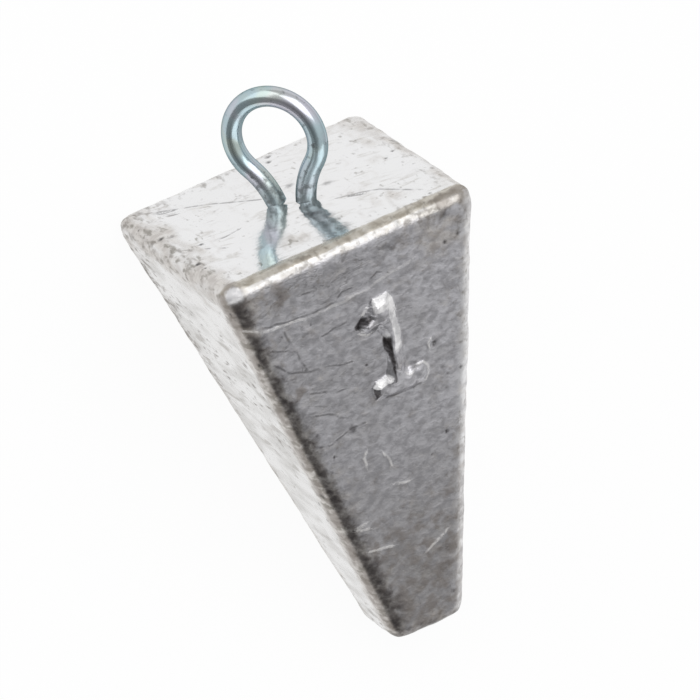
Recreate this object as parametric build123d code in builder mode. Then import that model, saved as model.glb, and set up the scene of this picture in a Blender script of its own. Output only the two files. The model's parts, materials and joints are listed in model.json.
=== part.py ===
from build123d import *
import os
from math import atan, atan2, cos, degrees, sin, sqrt

# A one-ounce pyramid sinker: a tapered square block of cast lead, with a bent wire eye that was
# set in the mould before the lead was poured, so the lead closes round its legs and holds them.
# The sinker lies on its back face, +Z up, with its tip towards -Y and its eye towards +Y.
# The origin is on the table, under the middle of the sinker's length. Sizes are in millimetres.

# Lead body
top_width = 15.0  # across the wide end, which carries the eye
tip_width = 4.1  # across the narrow end
body_height = 25.0  # from the narrow end to the wide end, along the axis
edge_radius = 0.8  # rounding that the mould leaves along every edge

# Wire eye, with bends measured on the middle of the wire
wire_diameter = 1.1
eye_inner_diameter = 3.7  # the hole that the line or clip goes through
neck_gap = 0.45  # daylight between the two legs where they run side by side
neck_bend_radius = 4.5  # reverse bend between the loop and each leg
neck_depth = 0.85  # below the wide end, where the legs become parallel
leg_length = 3.5  # straight run of each leg inside the lead
foot_bend_radius = 2.0  # bend that turns each leg outwards, so the eye can't pull out
foot_splay = 40  # turn of each foot away from the axis, in degrees
foot_length = 2.5  # straight end of each foot
eye_turn = 45  # the loop stands across two corners, in the mould's parting plane, in degrees
eye_lean = 3.5  # the loop tips a little towards the corner behind it, in degrees

# Places that follow from the sizes
face_slope = atan((top_width - tip_width) / 2 / body_height)
wire_radius = wire_diameter / 2
loop_radius = eye_inner_diameter / 2 + wire_radius
leg_offset = neck_gap / 2 + wire_radius
bend_offset = leg_offset + neck_bend_radius
loop_drop = sqrt((loop_radius + neck_bend_radius) ** 2 - bend_offset**2)
loop_height = loop_drop - neck_depth
neck_turn = degrees(atan2(loop_drop, bend_offset))
eye_top = loop_height + loop_radius + wire_radius
tip_overhang = tip_width / 2 * sin(face_slope)
lying_length = (body_height + eye_top) * cos(face_slope) + tip_overhang

# The axis plane lies across the narrow end, and its normal runs up the axis towards the eye.
axis_plane = Plane(
    origin=(0, tip_overhang - lying_length / 2, tip_width / 2 * cos(face_slope)),
    x_dir=(1, 0, 0),
    z_dir=(0, cos(face_slope), sin(face_slope)),
)
top_plane = axis_plane.offset(body_height)

# The wire lies in the eye plane, whose local Y points up through the loop, and is alike on both
# sides of the halving plane.
sinker_axis = Axis(top_plane.origin, top_plane.z_dir)
loop_direction = top_plane.x_dir.rotate(sinker_axis, -eye_turn)
eye_upright = top_plane.z_dir.rotate(Axis(top_plane.origin, loop_direction), -eye_lean)
eye_plane = Plane(
    origin=top_plane.origin,
    x_dir=loop_direction,
    z_dir=loop_direction.cross(eye_upright),
)
halving_plane = Plane(origin=top_plane.origin, z_dir=loop_direction)

os.makedirs("parts", exist_ok=True)

# Wire eye: one length of round wire, bent from the crown of the loop down through the neck to a
# splayed foot, and the same on the other side.
with BuildPart() as wire_eye:
    with BuildLine(eye_plane) as bent_wire:
        crown = CenterArc((0, loop_height), loop_radius, 90, -90 - neck_turn)
        neck = JernArc(crown @ 1, crown % 1, neck_bend_radius, neck_turn)
        leg = PolarLine(neck @ 1, leg_length, direction=neck % 1)
        foot_bend = JernArc(leg @ 1, leg % 1, foot_bend_radius, foot_splay)
        foot = PolarLine(foot_bend @ 1, foot_length, direction=foot_bend % 1)
        mirror(about=halving_plane)
    wire_run = bent_wire.wire()
    with BuildSketch(Plane(origin=wire_run @ 0, z_dir=wire_run % 0)):
        Circle(wire_radius)
    sweep(path=wire_run)
wire_eye.part.label = "wire_eye"
export_step(wire_eye.part, "parts/wire_eye.step")

# Lead body: a square block with four flat faces drafted evenly from the wide end to the tip,
# rounded along every edge, with the channel that the wire's buried legs and feet fill.
with BuildPart() as lead_body:
    with BuildSketch(top_plane):
        Rectangle(top_width, top_width)
    extrude(amount=-body_height)
    sides = lead_body.faces().filter_by(sinker_axis, reverse=True)
    draft(sides, neutral_plane=top_plane, angle=-degrees(face_slope))
    fillet(lead_body.edges(), edge_radius)
    add(wire_eye.part, mode=Mode.SUBTRACT)
lead_body.part.label = "lead_body"
export_step(lead_body.part, "parts/lead_body.step")
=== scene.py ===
import json
import math

import bpy
import numpy as np
from mathutils import Matrix, Quaternion, Vector, noise


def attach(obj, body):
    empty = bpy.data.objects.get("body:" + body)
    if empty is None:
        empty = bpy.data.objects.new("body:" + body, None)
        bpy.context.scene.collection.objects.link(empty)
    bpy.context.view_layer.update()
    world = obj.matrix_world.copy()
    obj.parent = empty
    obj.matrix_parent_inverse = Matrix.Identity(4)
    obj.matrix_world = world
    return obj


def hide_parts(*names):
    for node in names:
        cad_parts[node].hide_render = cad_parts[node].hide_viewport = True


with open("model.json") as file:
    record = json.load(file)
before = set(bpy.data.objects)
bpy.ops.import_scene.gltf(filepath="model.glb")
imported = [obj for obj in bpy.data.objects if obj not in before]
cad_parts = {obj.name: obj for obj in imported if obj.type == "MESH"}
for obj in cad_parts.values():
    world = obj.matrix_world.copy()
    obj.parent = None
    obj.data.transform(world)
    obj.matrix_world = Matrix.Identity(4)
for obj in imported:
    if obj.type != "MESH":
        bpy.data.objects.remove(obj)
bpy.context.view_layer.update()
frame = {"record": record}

# Wire eye
# One length of zinc-plated steel wire, bent into a loop with two legs and splayed feet. It is set
# in the mould first, across two corners, and the lead that is poured round its legs holds it.
mm = 0.001
mounts = {mount["name"]: mount for mount in frame["record"]["mounts"]}
eye_hole = mounts["line_eye"]
wire_radius = eye_hole["dims"]["length_mm"] / 2 * mm
loop_radius = eye_hole["dims"]["r_mm"] * mm + wire_radius
neck_gap = 0.45 * mm
neck_bend_radius = 4.5 * mm
neck_depth = 0.85 * mm
leg_length = 3.5 * mm
foot_bend_radius = 2.0 * mm
foot_splay = math.radians(40)
foot_length = 2.5 * mm
eye_turn = math.radians(45)
eye_lean = math.radians(3.5)

# The block of lead lies on its back face, so its axis climbs towards the eye by the slope of that
# face. The eye's centre comes from the frame, and both ends of the block are counted back from it.
top_width = 15.0 * mm
tip_width = 4.1 * mm
body_height = 25.0 * mm
face_slope = math.atan((top_width - tip_width) / 2 / body_height)
sideways = Vector((1, 0, 0))
axis = Vector((0, math.cos(face_slope), math.sin(face_slope)))
loop_direction = Quaternion(axis, -eye_turn) @ sideways
eye_upright = Quaternion(loop_direction, -eye_lean) @ axis
eye_normal = loop_direction.cross(eye_upright)
leg_offset = neck_gap / 2 + wire_radius
bend_offset = leg_offset + neck_bend_radius
loop_drop = math.sqrt((loop_radius + neck_bend_radius) ** 2 - bend_offset**2)
loop_height = loop_drop - neck_depth
neck_turn = math.atan2(loop_drop, bend_offset)
eye_centre = Vector(eye_hole["pos_m"])
top_centre = eye_centre - eye_upright * loop_height
tip_centre = top_centre - axis * body_height


def in_eye(across, up):
    """A point in the plane of the eye, counted from the middle of the wide end."""
    return top_centre + loop_direction * across + eye_upright * up


def run_wire(direction, length, steps):
    """Draws the open end of the wire straight on."""
    for _ in range(steps):
        bpy.ops.mesh.extrude_region_move(TRANSFORM_OT_translate={"value": direction * (length / steps)})


def bend_wire(centre, turn, steps):
    """Bends the open end of the wire round a centre, in the plane of the eye."""
    bpy.ops.mesh.spin(steps=steps, angle=turn, center=centre, axis=-eye_normal)


# The wire is drawn from the end of one foot, up its leg, round the loop and down to the other foot.
wire_sides = 32
foot_steps = 8
foot_bend_steps = 10
leg_steps = 24
neck_steps = 32
loop_steps = 110
cut_end_angle = math.radians(50)
foot_direction = loop_direction * math.sin(foot_splay) - eye_upright * math.cos(foot_splay)
foot_side = loop_direction * math.cos(foot_splay) + eye_upright * math.sin(foot_splay)
other_foot = Quaternion(eye_normal, -2 * foot_splay) @ foot_direction
foot_centre = in_eye(leg_offset + foot_bend_radius, -neck_depth - leg_length)
foot_end = foot_centre - foot_side * foot_bend_radius + foot_direction * foot_length
bpy.ops.object.select_all(action="DESELECT")
bpy.ops.mesh.primitive_circle_add(
    vertices=wire_sides,
    radius=wire_radius,
    location=foot_end,
    rotation=(-foot_direction).to_track_quat("Z", "Y").to_euler(),
)
wire = bpy.context.object
wire.name = "bent_wire_eye"
bpy.ops.object.transform_apply(location=True, rotation=True, scale=True)
bpy.ops.object.mode_set(mode="EDIT")
bpy.ops.mesh.select_all(action="SELECT")
run_wire(-foot_direction, foot_length, foot_steps)
bend_wire(foot_centre, -foot_splay, foot_bend_steps)
run_wire(eye_upright, leg_length, leg_steps)
bend_wire(in_eye(bend_offset, -neck_depth), -neck_turn, neck_steps)
bend_wire(eye_centre, math.pi + 2 * neck_turn, loop_steps)
bend_wire(in_eye(-bend_offset, -neck_depth), -neck_turn, neck_steps)
run_wire(-eye_upright, leg_length, leg_steps)
bend_wire(in_eye(-leg_offset - foot_bend_radius, -neck_depth - leg_length), -foot_splay, foot_bend_steps)
run_wire(other_foot, foot_length, foot_steps)
bpy.ops.mesh.select_all(action="SELECT")
bpy.ops.mesh.fill_holes(sides=wire_sides)
bpy.ops.mesh.normals_make_consistent(inside=False)
bpy.ops.object.mode_set(mode="OBJECT")
bpy.ops.object.shade_smooth_by_angle(angle=cut_end_angle)


class Shade:
    """A shader socket. Operators on shades and numbers add Math nodes, and add() puts in any other."""

    def __init__(self, tree, socket=None):
        self.tree = tree
        self.socket = socket

    def add(self, kind, settings=None, inputs=None, output=0):
        node = self.tree.nodes.new(kind)
        for name, value in (settings or {}).items():
            setattr(node, name, value)
        for name, value in (inputs or {}).items():
            if isinstance(value, Shade):
                self.tree.links.new(value.socket, node.inputs[name])
            else:
                node.inputs[name].default_value = value
        return Shade(self.tree, node.outputs[output] if node.outputs else None)

    def math(self, operation, first, second):
        return self.add("ShaderNodeMath", {"operation": operation}, {0: first, 1: second})

    def __add__(self, other):
        return self.math("ADD", self, other)

    def __radd__(self, other):
        return self.math("ADD", other, self)

    def __sub__(self, other):
        return self.math("SUBTRACT", self, other)

    def __rsub__(self, other):
        return self.math("SUBTRACT", other, self)

    def __mul__(self, other):
        return self.math("MULTIPLY", self, other)

    def __rmul__(self, other):
        return self.math("MULTIPLY", other, self)

    def __abs__(self):
        return self.math("ABSOLUTE", self, 0.0)

    def most(self, other):
        """The greater of two shades."""
        return self.math("MAXIMUM", self, other)

    def rise(self, low, high):
        """0 below low and 1 above high, with a smooth step between."""
        inputs = {"Value": self, "From Min": low, "From Max": high}
        return self.add("ShaderNodeMapRange", {"interpolation_type": "SMOOTHSTEP"}, inputs)

    def mix(self, first, second):
        """The first colour where this shade is 0, and the second where it is 1."""
        # A Mix node's inputs 6 and 7 are its two colours, and its output 2 is the colour between them.
        first, second = [side if isinstance(side, Shade) else (*side, 1) for side in (first, second)]
        return self.add("ShaderNodeMix", {"data_type": "RGBA"}, {0: self, 6: first, 7: second}, 2)

    def along(self, direction):
        """How far these coordinates lie along a direction."""
        inputs = {0: self, 1: tuple(direction)}
        return self.add("ShaderNodeVectorMath", {"operation": "DOT_PRODUCT"}, inputs, "Value")

    def drawn(self, direction, stretch):
        """These coordinates drawn out along a direction, so that noise read at them makes streaks."""
        scaled = {0: tuple(direction), "Scale": self.along(direction) * (1 - 1 / stretch)}
        shift = self.add("ShaderNodeVectorMath", {"operation": "SCALE"}, scaled)
        return self.add("ShaderNodeVectorMath", {"operation": "SUBTRACT"}, {0: self, 1: shift})

    def noise(self, scale, detail=2.0, distortion=0.0):
        """Soft noise with so many cells to the metre, read at these coordinates."""
        inputs = {"Vector": self, "Scale": scale, "Detail": detail, "Distortion": distortion}
        return self.add("ShaderNodeTexNoise", inputs=inputs)

    def mark(self, name):
        """A value that was left on the vertices of the piece."""
        return self.add("ShaderNodeAttribute", {"attribute_name": name}, output="Fac")


def leave_mark(piece, name, values):
    """Leaves a value on every vertex of the piece, for its material to read."""
    attribute = piece.data.attributes.new(name, "FLOAT", "POINT")
    attribute.data.foreach_set("value", np.asarray(values, np.float32))


def start_material(piece, name):
    """Gives the piece an empty material, and returns its tree of nodes."""
    material = bpy.data.materials.new(name)
    material.use_nodes = True
    material.node_tree.nodes.clear()
    piece.data.materials.clear()
    piece.data.materials.append(material)
    return Shade(material.node_tree)


# The plating has a few nicks on its upper side. Each is given across the eye, up from the wide end
# and by its size, in millimetres.
nicks = ((2.36, 3.18, 0.20), (1.50, 1.75, 0.15), (-1.55, 1.75, 0.15), (0.62, 5.92, 0.10))
nicked = np.zeros(len(wire.data.vertices))
for across, up, size in nicks:
    centre = in_eye(across * mm, up * mm) + eye_normal * wire_radius
    away = np.array([(vertex.co - centre).length for vertex in wire.data.vertices])
    nicked = np.maximum(nicked, np.exp(-((away / (size * mm)) ** 2)))
leave_mark(wire, "nick", nicked)

# The zinc changes slowly between blue, violet and green, and is dull and spotted near the lead.
blue_zinc = (0.43, 0.54, 0.58)
violet_zinc = (0.56, 0.56, 0.63)
green_zinc = (0.51, 0.57, 0.50)
dull_zinc = (0.30, 0.36, 0.37)
bare_steel = (0.11, 0.12, 0.12)
zinc_glance = (0.35, 0.42, 0.42, 1)
tree = start_material(wire, "plated_wire")
place = tree.add("ShaderNodeTexCoord", output="Object")
near_lead = 1.0 - (place.along(axis) - top_centre.dot(axis)).rise(0.4 * mm, 2.6 * mm)
plated = place.noise(330.0, 2.0, 0.5).rise(0.42, 0.60).mix(blue_zinc, violet_zinc)
plated = (place.noise(420.0, 2.0, 0.3).rise(0.54, 0.68) * 0.6).mix(plated, green_zinc)
plated = (near_lead * 0.45).mix(plated, dull_zinc)
bare_spots = (place.noise(2600.0, 3.0, 0.5) + near_lead * 0.12).rise(0.58, 0.74) * 0.6
bare_nicks = (tree.mark("nick") + place.noise(5000.0) * 1.6).rise(1.25, 1.75) * 0.8
bare = bare_spots.most(bare_nicks)
surface = tree.add(
    "ShaderNodeBsdfPrincipled",
    inputs={
        "Base Color": bare.mix(plated, bare_steel),
        "Metallic": 1.0,
        "Roughness": 0.20 + bare * 0.3 + near_lead * 0.08,
        "Specular Tint": zinc_glance,
    },
)
tree.add("ShaderNodeOutputMaterial", inputs={"Surface": surface})
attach(wire, "root")
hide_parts("wire_eye")

# Lead body
# A square block of cast lead that tapers to a blunt tip, poured round the wire's legs. The mould
# leaves every edge rounded and raises a 1, for one ounce, on the face that looks up.
edge_width = 1.16 * mm
edge_steps = 8
voxel = 0.13 * mm

# The block starts as a cube that lies along the axis. It is narrowed at its tip, bevelled, and remade
# in fine cells. Of its own directions, deep runs from the numbered face to the back face.
deep = axis.cross(sideways)
lying = Matrix((sideways, deep, axis)).transposed()
bpy.ops.object.select_all(action="DESELECT")
bpy.ops.mesh.primitive_cube_add(
    size=1,
    location=(top_centre + tip_centre) / 2,
    rotation=lying.to_euler(),
    scale=(top_width, top_width, body_height),
)
lead = bpy.context.object
lead.name = "cast_lead_body"
bpy.ops.object.transform_apply(location=True, rotation=True, scale=True)
for vertex in lead.data.vertices:
    vertex.select = (vertex.co - tip_centre).dot(axis) < body_height / 2
for edge in lead.data.edges:
    edge.select = all(lead.data.vertices[i].select for i in edge.vertices)
for face in lead.data.polygons:
    face.select = all(lead.data.vertices[i].select for i in face.vertices)
bpy.ops.object.mode_set(mode="EDIT")
narrow = tip_width / top_width
bpy.ops.transform.resize(value=(narrow, narrow, narrow), center_override=tip_centre)
bpy.ops.mesh.select_all(action="SELECT")
bpy.ops.mesh.bevel(
    offset=edge_width,
    offset_type="WIDTH",
    segments=edge_steps,
    profile=0.5,
    affect="EDGES",
)
bpy.ops.object.mode_set(mode="OBJECT")
lead.data.remesh_voxel_size = voxel
bpy.ops.object.voxel_remesh()
bpy.ops.object.shade_smooth()
soften = lead.modifiers.new("soften", "SMOOTH")
bpy.ops.object.modifier_apply(modifier="soften")


class Face:
    """A flat face of the block, measured in millimetres to the right of its origin and down from it."""

    def __init__(self, origin, normal, down):
        self.origin = origin
        self.normal = normal
        self.down = down
        self.right = normal.cross(down)

    def point(self, right, down):
        return self.origin + (self.right * right + self.down * down) * mm


def sloping_face(outward):
    """The sloping face on that side, measured from the middle of its wide edge towards the tip."""
    normal = outward * math.cos(face_slope) - axis * math.sin(face_slope)
    down = -axis * math.cos(face_slope) - outward * math.sin(face_slope)
    return Face(top_centre + outward * (top_width / 2), normal, down)


faces = {
    "top": Face(top_centre, axis, -deep),
    "front": sloping_face(-deep),
    "left": sloping_face(-sideways),
    "right": sloping_face(sideways),
    "back": sloping_face(deep),
    "tip": Face(tip_centre, -axis, deep),
}
top_face = faces["top"]
front_face = faces["front"]

# The mesh is made finer where the 1 stands, within these limits to the right and down.
fine_right = (-1.2, 3.8)
fine_down = (3.4, 10.8)
flat_within = 0.1
bpy.ops.object.mode_set(mode="EDIT")
bpy.ops.mesh.select_mode(type="FACE")
bpy.ops.mesh.select_all(action="DESELECT")
bpy.ops.object.mode_set(mode="OBJECT")
for face in lead.data.polygons:
    apart = (face.center - front_face.origin) / mm
    if abs(apart.dot(front_face.normal)) < flat_within:
        in_width = fine_right[0] < apart.dot(front_face.right) < fine_right[1]
        face.select = in_width and fine_down[0] < apart.dot(front_face.down) < fine_down[1]
bpy.ops.object.mode_set(mode="EDIT")
bpy.ops.mesh.subdivide(number_cuts=1)
bpy.ops.mesh.select_mode(type="VERT")
bpy.ops.object.mode_set(mode="OBJECT")

# Where each vertex of the block lies, and which way it faces.
count = len(lead.data.vertices)
points = np.empty((count, 3))
lead.data.vertices.foreach_get("co", points.reshape(-1))
normals = np.empty((count, 3))
lead.data.vertices.foreach_get("normal", normals.reshape(-1))


def step(values, low, high):
    """0 below low and 1 above high, with a smooth step between."""
    part = np.clip((values - low) / (high - low), 0, 1)
    return part * part * (3 - 2 * part)


def bell(away, reach):
    """1 where the distance is nothing, falling away over that reach."""
    return np.exp(-((away / reach) ** 2))


def rough(grain, seed, stretch=1.0):
    """Soft noise with grains of that size in millimetres, stretched or shortened along the axis."""
    drawn = points - np.outer(points @ np.array(axis), np.array(axis)) * (1 - 1 / stretch)
    start = Vector((seed, 3.7 * seed, 0))
    return np.array([noise.noise(Vector(point) / (grain * mm) + start) for point in drawn])


def on_face(face):
    """Each vertex in the face's own measure, to the right and down."""
    apart = (points - np.array(face.origin)) / mm
    return apart @ np.array(face.right), apart @ np.array(face.down)


def distance_to(point):
    """Distance from each vertex to a point, in millimetres."""
    return np.linalg.norm(points - np.array(point), axis=1) / mm


def around(point, radius):
    """1 at a point, falling away over that many millimetres."""
    return bell(distance_to(point), radius)


def off_line(right, down, corners):
    """Distance from each vertex to a line through those corners, in millimetres, below 0 on its left."""
    best = np.full(count, np.inf)
    for (x0, y0), (x1, y1) in zip(corners, corners[1:]):
        run_x = x1 - x0
        run_y = y1 - y0
        part = np.clip(((right - x0) * run_x + (down - y0) * run_y) / (run_x**2 + run_y**2), 0, 1)
        away = np.hypot(right - x0 - part * run_x, down - y0 - part * run_y)
        away *= np.where((right - x0) * run_y - (down - y0) * run_x > 0, -1, 1)
        best = np.where(abs(away) < abs(best), away, best)
    return best


def within(right, down, corners):
    """How far each vertex lies inside a closed outline, in millimetres, below 0 outside it."""
    inside = np.zeros(count, bool)
    for (x0, y0), (x1, y1) in zip(corners, corners[1:] + corners[:1]):
        if y0 != y1:
            inside ^= ((y0 > down) != (y1 > down)) & (right < x0 + (x1 - x0) * (down - y0) / (y1 - y0))
    away = abs(off_line(right, down, corners + corners[:1]))
    return np.where(inside, away, -away)


# How far each vertex lies below each flat face, in millimetres, and which face it is nearest to.
depth = {}
for name, face in faces.items():
    depth[name] = (np.array(face.origin) - points) @ np.array(face.normal) / mm
depths = np.array(list(depth.values()))
nearest = np.array(list(depth))[depths.argmin(axis=0)]
to_edge = np.sort(depths, axis=0)[1]
rounding = (0.25, 1.1)
beside_edge = (0.6, 2.6)
on_edge = 1 - step(to_edge, *rounding)
near_edge = 1 - step(to_edge, *beside_edge)
on_top = nearest == "top"
on_front = nearest == "front"
flat_top = on_top * (1 - on_edge)
flat_front = on_front * step(depth["top"], 0.24, 0.60)
flat_front *= step(np.minimum(depth["left"], depth["right"]), *rounding)
flat_sides = np.isin(nearest, ("left", "right", "back")) * (1 - on_edge)
right, down = on_face(front_face)
top_right, top_down = on_face(top_face)


def along_edge(first, second, reach):
    """1 along the edge between two faces, falling to 0 that many millimetres into either."""
    return 1 - step(np.maximum(depth[first], depth[second]), 0.4, reach)


# Shapes left by the pour, with heights in millimetres: slow waves on every face, ragged edges, a
# worn left edge on the numbered face, and laps across its upper left, where the metal froze in steps.
slow_wave = 0.030
short_wave = 0.012
edge_wave = 0.055
edge_grain = 0.030
skin_grain = 0.006
lip_grain = 0.045
left_wear = 0.12
left_wear_width = 1.15
lap_height = 0.035
ragged = rough(1.0, 3.0)
lift = slow_wave * rough(4.5, 1.0) + short_wave * rough(1.6, 2.0)
lift += on_edge * (edge_wave * ragged + edge_grain * rough(0.5, 4.0))
lift += skin_grain * rough(0.45, 5.0) * (1 - 0.75 * flat_top)
lift += lip_grain * rough(0.40, 8.0) * along_edge("top", "front", 1.0)
before_left = step(depth["left"] - depth["front"], 0.0, 0.5)
worn_in = np.clip(1 - depth["left"] / (left_wear_width + 0.35 * ragged), 0, 1)
lift -= left_wear * before_left * worn_in**2
upper = flat_front * (1 - step(down, 6.0, 13.0)) * (1 - step(right, 0.0, 4.0))
lift += lap_height * rough(0.8, 6.0, 0.45) * upper

# The raised 1, a stem with a flag and a foot, has flanks like a roof. It did not fill cleanly, so
# its outline wanders, the right end of its foot is low, and its flag has a hollow.
numeral = (
    (-0.74, 5.49),
    (0.26, 4.29),
    (0.52, 3.95),
    (1.45, 3.85),
    (1.75, 4.40),
    (1.80, 6.00),
    (1.72, 8.95),
    (2.49, 8.95),
    (2.85, 9.40),
    (2.85, 10.00),
    (2.55, 10.35),
    (1.27, 10.42),
    (-0.45, 10.25),
    (-0.50, 9.35),
    (-0.20, 9.05),
    (0.45, 8.85),
    (0.66, 8.30),
    (0.72, 6.60),
    (0.45, 5.95),
    (-0.20, 5.95),
)
numeral_height = 0.42
flank_slope = 0.85
wander = 0.09
short_wander = 0.03
hollow_line = ((-0.55, 5.35), (0.25, 5.0))
hollow_width = 0.25
hollow_depth = 0.22
wandering = (
    right + wander * rough(0.7, 11.0),
    down + wander * rough(0.7, 12.0) + short_wander * rough(0.3, 15.0),
)
flank = np.maximum(within(*wandering, numeral), 0) * on_front
raised = np.minimum(flank * flank_slope, numeral_height) * (1 + 0.4 * rough(0.6, 9.0))
raised *= 1 - 0.5 * step(right, 1.7, 2.2)
hollow = np.exp(-((off_line(*wandering, hollow_line) / hollow_width) ** 4)) * on_front
lift += raised - hollow_depth * hollow * step(raised, 0.0, 0.1)

# One lap stands out as a low ridge, with thin wrinkles above and below it. Nearer the tip the face has
# small burrs, which the finish paints bright as a painted highlight. The parting line of the mould and a
# few scratches cross the wide end.
ridge = ((-7.2, 2.5), (-5.69, 3.1), (-3.2, 3.45), (-1.5, 3.41), (0.05, 3.35), (1.5, 3.06), (3.2, 2.76))
burrs = (
    ridge,
    ((-1.5, 12.95), (-1.74, 13.38), (-1.7, 13.9)),
    ((-0.6, 13.6), (-0.4, 14.05), (-0.34, 14.47)),
    ((-0.35, 15.65), (0.12, 15.8), (0.46, 15.86)),
    ((-2.93, 17.34), (-2.38, 17.29)),
    ((-2.96, 17.52), (-2.29, 17.73)),
    ((-2.56, 19.12), (-2.1, 19.22), (-1.18, 19.42)),
    ((0.62, 20.65), (1.96, 19.93)),
    ((-0.50, 5.84), (-0.15, 6.0), (0.2, 5.9)),
    ((-0.2, 4.75), (0.15, 4.4)),
    ((1.6, 9.2), (1.78, 9.36), (1.98, 9.28)),
    ((2.3, 9.08), (2.6, 9.1), (2.78, 9.45), (2.75, 9.95), (2.5, 10.25)),
    ((3.22, 7.96), (3.05, 8.2), (3.08, 8.5)),
)
wrinkles = (
    ((-5.6, 2.9), (-4.14, 3.21), (-2.7, 3.33), (-1.7, 3.28)),
    ((-4.59, 3.72), (-4.34, 4.56)),
    ((-5.46, 4.53), (-4.6, 4.95), (-4.13, 5.25), (-3.75, 6.67)),
    ((-5.36, 5.55), (-4.74, 6.25), (-3.76, 6.7), (-2.62, 6.91), (-1.28, 7.31)),
    ((-2.59, 4.96), (-1.79, 4.78), (-1.19, 4.74)),
    ((-3.8, 8.09), (-2.54, 8.61), (-1.69, 8.81)),
    ((-3.9, 9.54), (-3.18, 9.77), (-2.29, 10.41)),
    ((-4.15, 11.42), (-3.43, 11.68), (-2.68, 11.46), (-2.03, 11.19), (-1.27, 11.24)),
    ((-3.18, 1.95), (-2.45, 2.11), (-1.69, 2.16)),
    ((-1.28, 3.08), (-1.0, 2.83), (0.52, 2.92), (1.12, 2.57), (1.7, 2.92)),
    ((-0.46, 23.18), (-0.35, 23.83)),
)
scratches = (
    ((-6.6, -6.5), (-5.67, -5.77), (-4.52, -4.89), (-3.2, -3.98), (-1.05, -1.78)),
    ((1.8, 1.99), (3.01, 2.57), (3.81, 3.15), (5.21, 5.24)),
    ((2.27, 2.38), (2.88, 2.86)),
    ((-5.04, 0.61), (-4.27, 0.75), (-3.35, 0.55)),
    ((-5.55, 0.39), (-5.3, 0.58)),
    ((-6.5, 0.13), (-6.18, 0.4)),
    ((-6.46, 1.41), (-6.51, 1.91)),
    ((-6.52, 2.45), (-6.47, 2.8)),
    ((-5.52, 1.15), (-4.88, 1.96)),
    ((-5.69, -5.6), (-5.42, -5.13), (-4.64, -4.88)),
    ((-5.21, -4.54), (-4.88, -4.35)),
)
line_width = 0.10
line_felt = 0.22
crease_depth = 0.012
burr_height = 0.030


def nearest_line(lines, right, down, on):
    """Signed distance to the nearest of the lines, and how strongly it is felt, on that face alone."""
    offsets = np.array([off_line(right, down, corners) for corners in lines])
    pick = abs(offsets).argmin(axis=0)
    side = offsets[pick, np.arange(count)]
    return np.clip(side, -1, 1), np.where(on, bell(side, line_felt), 0)


wrinkle_side, wrinkle_near = nearest_line(wrinkles, *wandering, on_front)
scratch_side, scratch_near = nearest_line(scratches, top_right, top_down, on_top)
crease_side = np.where(on_top, scratch_side, wrinkle_side)
crease_near = np.maximum(wrinkle_near, scratch_near)
burr_side, burr_near = nearest_line(burrs, *wandering, on_front)
burr_near *= 1 - 0.4 * bell(off_line(*wandering, ridge[2:]), 0.3)
lift -= crease_depth * bell(crease_side, line_width) * crease_near
lift += burr_height * bell(burr_side, line_width) * burr_near

# Small pits and grains lie along the edges, each with its own radius and depth.
pit_tries = 420
pit_radius = (0.10, 0.28)
pit_depth = (-0.03, 0.07)
dice = np.random.default_rng(7)
pit_shade = np.zeros(count)
for chosen in dice.choice(count, pit_tries, replace=False):
    if near_edge[chosen] > dice.random():
        radius = dice.uniform(*pit_radius)
        sunk = dice.uniform(*pit_depth)
        pit = around(points[chosen], radius)
        lift -= sunk * pit
        # The deeper pits are kept, to be painted dark as painted shade.
        pit_shade = np.maximum(pit_shade, pit * step(sunk, 0.0, 0.05))

# The lead climbs a little where it froze against each leg, and is rough beside the right one. A
# pinhole is left on the numbered face, to the right of the 1.
leg_spread = bend_offset - math.sqrt(neck_bend_radius**2 - neck_depth**2)
collar_radius = 0.5
collar_width = 0.15
collar_height = 0.08
leg_grain = 0.03
pinhole_depth = 0.10
for side in (-1, 1):
    away = distance_to(in_eye(side * leg_spread, 0))
    lift += on_top * collar_height * bell(np.maximum(away - collar_radius, 0), collar_width)
lift += leg_grain * rough(0.5, 13.0) * around(top_face.point(0.6, 2.6), 1.3)
lift -= pinhole_depth * around(front_face.point(3.38, 8.33), 0.17)

# Each vertex moves out along its normal, and the 1 leans to its left. The back face, which lies on
# the table, only has hollows.
numeral_lean = 0.35
lift = np.where(nearest == "back", np.minimum(lift, 0), lift)
moved = points + (normals * lift[:, None] - np.outer(raised * numeral_lean, front_face.right)) * mm
moved[:, 2] = np.maximum(moved[:, 2], 0)
lead.data.vertices.foreach_set("co", moved.reshape(-1))
lead.data.update()
lead.data.vertices.foreach_get("normal", normals.reshape(-1))
leftward = -normals @ np.array(front_face.right)
upward = -normals @ np.array(front_face.down)
proud = step(raised, 0.02, 0.10)
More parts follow.
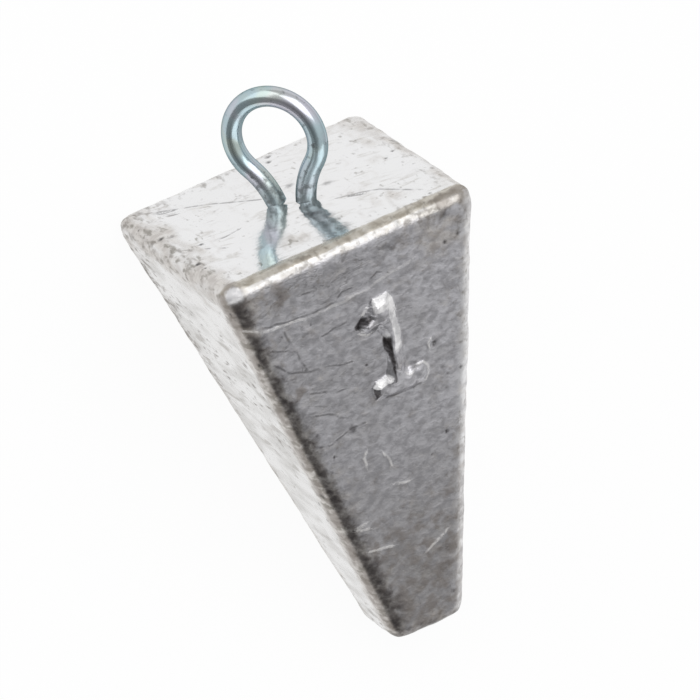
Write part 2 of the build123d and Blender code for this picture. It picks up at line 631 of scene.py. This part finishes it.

# Dark marks and painted shade: a dark band beside the left edge, painted shade on the left flank of the
# 1, on the end and the lower edge of its foot, in its hollow and in the deeper pits, a darker edge
# towards the tip, and spots. Each spot has its place on a face, its radius and its strength.
spots = (
    (front_face, -6.5, 1.6, 0.70, 0.9),
    (front_face, -0.52, 7.82, 0.13, 1.1),
    (front_face, 3.09, 13.95, 0.17, 1.5),
    (front_face, 2.9, 11.08, 0.11, 1.0),
    (front_face, -3.05, 3.95, 0.10, 1.2),
    (front_face, -2.0, 11.3, 0.40, 0.90),
    (front_face, -4.6, 1.5, 0.60, 0.65),
    (front_face, 5.4, 0.9, 0.65, 0.9),
    (front_face, 2.0, 1.35, 0.55, 0.75),
    (front_face, 3.6, 1.15, 0.50, 0.6),
    (front_face, 1.7, 20.9, 0.55, 0.65),
    (front_face, 1.4, 22.1, 0.45, 0.6),
    # The next two spots are painted shade in the pinhole.
    (front_face, 3.44, 8.28, 0.17, 1.1),
    (front_face, 3.36, 8.47, 0.16, 1.0),
    (front_face, 2.05, 9.05, 0.30, 1.0),
    (top_face, 2.27, -0.2, 0.40, 0.95),
    (top_face, 0.71, -1.85, 0.32, 0.85),
    # The next five spots, in a row on the wide end, are a painted reflection of the wire's right leg.
    (top_face, 0.45, 1.45, 0.50, 0.80),
    (top_face, 0.10, 2.60, 0.80, 0.90),
    (top_face, 0.50, 3.55, 0.65, 0.75),
    (top_face, 0.15, 4.35, 0.85, 0.85),
    (top_face, 0.45, 5.60, 0.75, 0.80),
    (top_face, 6.34, 1.99, 0.16, 0.9),
    (top_face, -7.29, 2.86, 0.17, 1.6),
    (top_face, -7.5, 0.86, 0.26, 1.4),
    (top_face, -6.64, 2.47, 0.22, 1.35),
    (top_face, -7.5, 4.4, 0.26, 1.4),
    (top_face, -5.5, 0.36, 0.16, 1.2),
    (top_face, -7.5, -1.35, 0.30, 1.25),
)
stem_shadow = (
    (0.62, 6.40),
    (1.14, 6.50),
    (1.19, 7.40),
    (1.10, 8.20),
    (0.95, 9.35),
    (0.82, 9.35),
    (0.88, 8.40),
    (0.74, 7.70),
    (0.60, 7.30),
)
foot_line_shade = ((0.2, 10.3), (1.2, 10.38), (2.2, 10.34))
ridge_start = ((-7.5, 2.42), (-6.0, 2.95))
dark_left_band = 1 - step(depth["left"] + 0.35 * rough(0.8, 14.0), 0.4, 2.0)
dark_left_band *= step(depth["left"] - depth["front"], -0.25, 0.25)
dark_left_band *= np.isin(nearest, ("top", "front", "left"))
# The left flank of the 1, the left-facing end of its foot and the lower edge of its foot get painted
# shade.
left_flank_shade = step(within(*wandering, stem_shadow), -0.10, 0.10) * step(down, 6.35, 6.75)
foot_tip_shade = proud * step(leftward, 0.25, 0.5) * step(down, 9.2, 9.5)
dark_marks_and_shade = np.maximum.reduce(
    [
        0.95 * dark_left_band,
        1.2 * left_flank_shade * on_front,
        1.0 * foot_tip_shade,
        0.9 * bell(off_line(*wandering, foot_line_shade), 0.14) * on_front,
        0.75 * along_edge("front", "tip", 1.1),
        1.15 * hollow,
        1.05 * pit_shade * (1 - along_edge("top", "front", 1.2)),
    ]
    + [strength * around(face.point(x, y), radius) for face, x, y, radius, strength in spots]
)
dark_marks_and_shade *= 1 - bell(off_line(right, down, ridge_start), 0.20) * (depth["front"] < 1.5)

# Painted highlights, on the cap and the right flank of the 1, its foot, the front corner and the right
# edge.
cap = step(right, 0.3, 0.6) * (1 - step(down, 4.5, 5.0))
right_flank = step(-leftward, 0.2, 0.45) * (1 - step(down, 7.3, 8.0))
left_foot = step(upward, 0.15, 0.4) * step(down, 8.7, 9.0)
left_foot *= (1 - step(down, 9.5, 9.7)) * (1 - step(right, 0.7, 1.0))
painted_highlight = np.maximum.reduce(
    [
        1.0 * proud * cap,
        0.9 * proud * right_flank,
        0.9 * proud * left_foot,
        0.7 * around(front_face.point(0.95, 6.4), 0.28),
        1.7 * around(front_face.point(-6.88, 0.13), 0.66),
        0.5 * along_edge("front", "right", 1.0),
    ]
)

# Dirt and tone: a darker line behind the front edge of the wide end, grime along the edges, and brown
# stains.
line_behind_edge = step(depth["front"], 0.25, 0.42) * (1 - step(depth["front"], 0.95, 1.3))
line_behind_edge *= 1 - step(depth["top"], 0.25, 0.45)
grime = np.maximum.reduce(
    [
        1.45 * along_edge("front", "left", 2.0) * (1 - 0.75 * flat_front),
        0.95 * along_edge("top", "left", 2.6),
        0.75 * along_edge("top", "right", 1.6),
        0.65 * along_edge("top", "back", 1.4),
        0.40 * along_edge("front", "right", 1.2),
        0.60 * along_edge("front", "tip", 1.6),
        0.85 * along_edge("left", "back", 1.6),
        0.60 * along_edge("right", "back", 1.4),
        0.60 * along_edge("left", "tip", 1.4),
        0.60 * along_edge("right", "tip", 1.4),
        0.8 * along_edge("top", "right", 2.6) * around(top_face.point(7.0, -4.5), 4.5),
        0.8 * along_edge("top", "back", 2.6) * around(top_face.point(6.0, -7.0), 3.0),
        0.8 * around(front_face.point(4.8, 1.8), 1.5),
        0.7 * around(top_face.point(4.0, 4.6), 0.9),
        0.8 * around(top_face.point(-1.8, 4.6), 0.9),
    ]
)
left_stain = (1.2 - 0.4 * step(down, 1.5, 4.0)) * (1 - 0.6 * flat_front)
brown = np.maximum.reduce(
    [
        1.0 * around(front_face.point(-4.45, 7.6), 0.55),
        1.0 * around(front_face.point(-4.4, 1.45), 0.80),
        0.7 * around(front_face.point(3.0, 1.2), 0.80),
        0.7 * flat_front * step(down, 13.0, 22.0),
        1.0 * around(front_face.point(2.3, 20.9), 1.3),
        0.8 * along_edge("front", "right", 1.6) * step(abs(down - 8.0), 3.0, 8.0),
        1.1 * along_edge("top", "front", 1.2) * step(right, 4.2, 5.6),
        left_stain * along_edge("front", "left", 1.9),
    ]
)
dashed = 0.5 * step(down, 3.0, 9.0) * (1 - 0.6 * step(down, 13.0, 19.0))
dashed += 0.6 * along_edge("left", "back", 4.0) + 0.3 * np.isin(nearest, ("right", "back", "tip"))
marks = {
    "numbered": flat_front,
    "wide_end": flat_top,
    "sides": flat_sides,
    "specked": flat_sides * step(down, 3.0, 6.0) * (1 - step(down, 10.0, 17.0)),
    "dashed": dashed,
    "lip": along_edge("top", "front", 0.9) * (0.7 + 0.3 * step(right, 3.6, 5.2)),
    "lighter": flat_front * step(right, -1.0, 4.5) * (1 - step(down, 9.0, 17.0)),
    "rim": on_edge,
    "near_edge": near_edge * (1 - 1.6 * along_edge("front", "left", 2.2)),
    "corner": around(top_face.point(-7.5, -7.5), 5.0),
    "upper": upper,
    "lower": flat_front * step(down, 11.0, 22.0),
    "line_behind_edge": line_behind_edge,
    "grime": grime,
    "brown": brown,
    "dark_marks_and_shade": dark_marks_and_shade,
    "painted_highlight": painted_highlight,
    "crease_side": crease_side,
    "crease_near": crease_near,
    "burr_side": burr_side,
    "burr_near": burr_near,
}
for name, values in marks.items():
    leave_mark(lead, name, values)

# The finish starts from bright metal, and each kind of mark is laid over the ones before it.
tree = start_material(lead, "cast_lead")
place = tree.add("ShaderNodeTexCoord", output="Object")
mark = tree.mark
numbered = mark("numbered")
wide_end = mark("wide_end")
sides = mark("sides")
specked = mark("specked")
cloud = place.noise(600.0, 3.0, 0.5)
patch = place.noise(1500.0, 3.0, 0.4)
fleck = place.noise(4300.0, 2.0, 0.3)
mottle = place.drawn(sideways, 1.2).noise(2300.0, 3.0, 0.3)
lap = place.drawn(sideways, 3.0).noise(1000.0, 4.0, 0.6)
wiped = place.drawn(sideways * 0.95 - deep * 0.3, 3.5).noise(1500.0, 3.0, 1.2)
streak = place.drawn(deep, 3.0).noise(1500.0, 2.0, 0.3)
smear = place.drawn(deep, 2.5).noise(1400.0, 2.0, 0.3)
haze = place.drawn(deep, 2.5).noise(900.0, 1.5, 0.3)
speck = place.drawn(deep, 2.2).noise(3600.0, 1.5, 0.2)
blot = place.drawn(deep, 2.0).noise(2600.0, 2.0, 0.2)

# Wrinkles get painted shade along the line and a painted highlight along its upper side, and lap lines
# get painted shade too. Burrs get a painted highlight.
crease_width = 0.13
from_crease = mark("crease_side")
by_crease = mark("crease_near") * patch.rise(0.32, 0.56)
crease = (1.0 - abs(from_crease).rise(0.0, crease_width)) * by_crease
crease_highlight = (1.0 - abs(from_crease + crease_width).rise(0.02, 0.10)) * by_crease
lapped = (1.0 - abs(lap - 0.5).rise(0.004, 0.022)) * cloud.rise(0.40, 0.60)
lapped = lapped * (0.15 + mark("upper") * 0.85)
crease = crease.most(lapped * numbered * 0.6)
burr = (1.0 - abs(mark("burr_side")).rise(0.02, 0.12)) * mark("burr_near")
burr = burr * (fleck * 0.6 + patch * 0.4).rise(0.32, 0.54)

# The plain lead, painted darker on the numbered face as painted shade, with its grain and marks of
# handling.
end_lead = (0.82, 0.82, 0.825)
side_lead = (0.75, 0.745, 0.74)
clouded_lead = (0.55, 0.54, 0.525)
shaded_face_lead = (0.53, 0.525, 0.55)
shaded_light_face_lead = (0.61, 0.605, 0.635)
shaded_dim_face_lead = (0.37, 0.36, 0.36)
grain_lead = (0.285, 0.28, 0.295)
crease_highlight_lead = (0.72, 0.71, 0.73)
crease_shade = (0.17, 0.165, 0.17)
wiped_dirt = (0.52, 0.50, 0.465)
dash_dirt = (0.36, 0.34, 0.315)
dashing = mark("dashed")
side_skin = (haze + dashing * 0.14).rise(0.44, 0.76).mix(side_lead, clouded_lead)
# The numbered face's darker lead is painted shade.
shaded_face_skin = mark("lighter").mix(shaded_face_lead, shaded_light_face_lead)
skin = numbered.mix(sides.mix(end_lead, side_skin), shaded_face_skin)
dimming = mark("lower") * 0.65 + cloud.rise(0.45, 0.65) * numbered * 0.3
skin = dimming.mix(skin, shaded_dim_face_lead)
skin = ((mottle * 0.8 + fleck * 0.2).rise(0.38, 0.64) * numbered * 0.62).mix(skin, grain_lead)
# A painted highlight along the upper side of each crease, then painted shade along the crease.
skin = (crease_highlight * 0.35).mix(skin, crease_highlight_lead)
skin = (crease * 0.8).mix(skin, crease_shade)
rubbed = wiped.rise(0.52, 0.72) * cloud.rise(0.40, 0.60) * wide_end * 0.6
skin = rubbed.mix(skin, wiped_dirt)
dashes = (streak + haze * 0.35 + dashing * 0.12).rise(0.80, 0.95) * sides * 0.85
skin = dashes.mix(skin, dash_dirt)

# Stains along the edges, blots, the dull lip of the top edge and a darker line behind it, brown stains,
# dark marks with painted shade, and specks of dross.
light_grime = (0.60, 0.565, 0.525)
dark_grime = (0.42, 0.38, 0.345)
blot_dirt = (0.25, 0.235, 0.205)
dull_lip = (0.55, 0.53, 0.50)
light_line_tone = (0.54, 0.51, 0.455)
dark_line_tone = (0.37, 0.335, 0.28)
brown_dirt = (0.25, 0.22, 0.20)
dark_and_shade_black = (0.050, 0.044, 0.045)
dross_dirt = (0.22, 0.20, 0.18)
grimy = mark("grime")
uneven = mottle.rise(0.35, 0.65)
stain = (grimy * 0.6 + smear * 1.3 + fleck * 0.2 - 0.72).rise(0.05, 0.75) * 0.7
stained = stain.mix(skin, uneven.mix(light_grime, dark_grime))
blotted = (blot + fleck * 0.15 + cloud * 0.2 + grimy * 0.13).rise(0.82, 1.00)
stained = (blotted * (1.0 - numbered) * 0.75).mix(stained, blot_dirt)
lipped = (mark("lip") * 0.7 + mottle * 0.8 + fleck * 0.3 - 0.55).rise(0.15, 0.75)
stained = lipped.mix(stained, dull_lip)
lined_behind_edge = (mark("line_behind_edge") + patch + fleck * 0.5 - 0.75).rise(0.20, 0.95) * 0.95
stained = lined_behind_edge.mix(stained, uneven.mix(light_line_tone, dark_line_tone))
browned = (mark("brown") * 0.6 + patch * 1.4 + mottle * 0.4 - 0.9).rise(0.15, 0.65) * 0.65
stained = browned.mix(stained, brown_dirt)
darkened_and_shaded = (mark("dark_marks_and_shade") + patch * 0.8 + fleck * 0.4 - 0.65).rise(0.25, 1.25)
stained = darkened_and_shaded.mix(stained, dark_and_shade_black)
dross = speck + cloud * 0.5 + patch * 0.3 + mark("near_edge") * 0.14 + mark("corner") * 0.10
dross = (dross + specked * 0.13).rise(1.08, 1.36) * (0.6 + specked * 0.25)
stained = dross.mix(stained, dross_dirt)

# Painted highlights and burrs are bright and dull, so they look white whatever they face.
light_highlight = (0.92, 0.91, 0.91)
dim_highlight = (0.58, 0.575, 0.585)
# The burrs' painted highlight colour.
burr_highlight = (0.80, 0.785, 0.765)
bump_strength = 0.9
bump_height = 0.07 * mm
# Where the painted highlights lie, broken by noise.
highlighted = (mark("painted_highlight") + patch * 0.8 + fleck * 0.5 - 0.65).rise(0.30, 0.85)
highlight_colour = (mottle * 0.6 + patch * 0.4).rise(0.38, 0.62).mix(light_highlight, dim_highlight)
colour = (burr * 0.55).mix(highlighted.mix(stained, highlight_colour), burr_highlight)
dull = (burr * 0.5).most(highlighted * 0.55)
roughness = 0.22 - wide_end * 0.10 + numbered * 0.06 + mark("rim") * 0.14 + stain.most(lined_behind_edge) * 0.14
roughness = roughness + dross * 0.2 + dull * 0.2 + rubbed * 0.15
relief = (mottle + fleck * 0.5) * (0.10 + numbered * 0.9) - crease * 0.2 + burr * 0.3
bumpy = {"Strength": bump_strength, "Distance": bump_height, "Height": relief}
bump = tree.add("ShaderNodeBump", inputs=bumpy)
surface = tree.add(
    "ShaderNodeBsdfPrincipled",
    inputs={"Base Color": colour, "Metallic": 1.0 - dull, "Roughness": roughness, "Normal": bump},
)
tree.add("ShaderNodeOutputMaterial", inputs={"Surface": surface})
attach(lead, "root")
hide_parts("lead_body")

# Table
# A plain white disc under the sinker. The camera and mirror-like metal see it as a lit white
# sheet that keeps a little of the sinker's soft shadow.
table_radius = 0.45
table_sides = 96
table_white = (0.9, 0.9, 0.9, 1)
sheet_white = (1, 1, 1, 1)
sheet_share = 0.94
bpy.ops.mesh.primitive_circle_add(
    vertices=table_sides,
    radius=table_radius,
    fill_type="NGON",
    location=(0, 0, 0),
)
table = bpy.context.object
table.name = "table"
bpy.ops.object.transform_apply(location=True, rotation=True, scale=True)
tree = start_material(table, "white_table")
camera_rays = tree.add("ShaderNodeLightPath", output="Is Camera Ray")
mirror_rays = tree.add("ShaderNodeLightPath", output="Is Glossy Ray")
paper = tree.add("ShaderNodeBsdfDiffuse", inputs={"Color": table_white})
sheet = tree.add("ShaderNodeEmission", inputs={"Color": sheet_white, "Strength": 1.0})
share = camera_rays.most(mirror_rays) * sheet_share
mixed = tree.add("ShaderNodeMixShader", inputs={0: share, 1: paper, 2: sheet})
tree.add("ShaderNodeOutputMaterial", inputs={"Surface": mixed})

# Light
# A plain studio with grey walls that are lighter above and to the right and darker high on the
# left. One soft box hangs above and behind the sinker, and another stands low behind it, to the left.
wall_white = (1, 1, 1, 1)
wall_level = 0.47
lighter_towards = (0.20, 0.12, 0.40)
darker_towards = (-0.60, -0.22, 0.77)
darker_by = 0.35
world = bpy.data.worlds.new("studio")
bpy.context.scene.world = world
world.use_nodes = True
world.node_tree.nodes.clear()
tree = Shade(world.node_tree)
direction = tree.add("ShaderNodeTexCoord", output="Generated")
shaded = direction.along(darker_towards).rise(0.80, 0.99)
brightness = wall_level + direction.along(lighter_towards) - shaded * darker_by
walls = tree.add("ShaderNodeBackground", inputs={"Color": wall_white, "Strength": brightness})
tree.add("ShaderNodeOutputWorld", inputs={"Surface": walls})


def towards(bearing, climb):
    """The direction at a bearing from the eye's end round to the right, and a climb, in degrees."""
    flat = math.cos(math.radians(climb))
    return Vector(
        (
            flat * math.sin(math.radians(bearing)),
            flat * math.cos(math.radians(bearing)),
            math.sin(math.radians(climb)),
        )
    )


# Each soft box has its bearing and climb in degrees, its width and height in metres, and its watts.
box_distance = 0.6
soft_boxes = (
    ("soft_box_above", 8, 62, 0.60, 0.60, 1.35),
    ("soft_box_behind", -40, 15, 0.72, 0.40, 0.95),
)
for name, bearing, climb, width, height, watts in soft_boxes:
    bpy.ops.object.light_add(
        type="AREA",
        location=towards(bearing, climb) * box_distance,
        rotation=towards(bearing, climb).to_track_quat("Z", "Y").to_euler(),
    )
    soft_box = bpy.context.object
    soft_box.name = name
    soft_box.data.shape = "RECTANGLE"
    soft_box.data.size = width
    soft_box.data.size_y = height
    soft_box.data.energy = watts

# Camera
# A long lens above the numbered face, turned so that the eye is at the top of the picture.
aim = Vector((0.246, 0.621, 7.0)) * mm
view_bearing = -52.86
view_climb = 69.473
view_roll = 104.837
view_distance = 812.03 * mm
camera_data = bpy.data.cameras.new("camera")
camera = bpy.data.objects.new("camera", camera_data)
bpy.context.scene.collection.objects.link(camera)
camera_data.lens = 800
camera_data.sensor_width = 36
camera_data.clip_start = 0.05
camera_data.clip_end = 50
view_from = towards(view_bearing, view_climb)
upright_view = view_from.to_track_quat("Z", "Y").to_matrix().to_4x4()
rolled_view = upright_view @ Matrix.Rotation(math.radians(view_roll), 4, "Z")
camera.matrix_world = Matrix.Translation(aim + view_from * view_distance) @ rolled_view
bpy.context.scene.camera = camera
bpy.context.scene.view_settings.view_transform = "Standard"
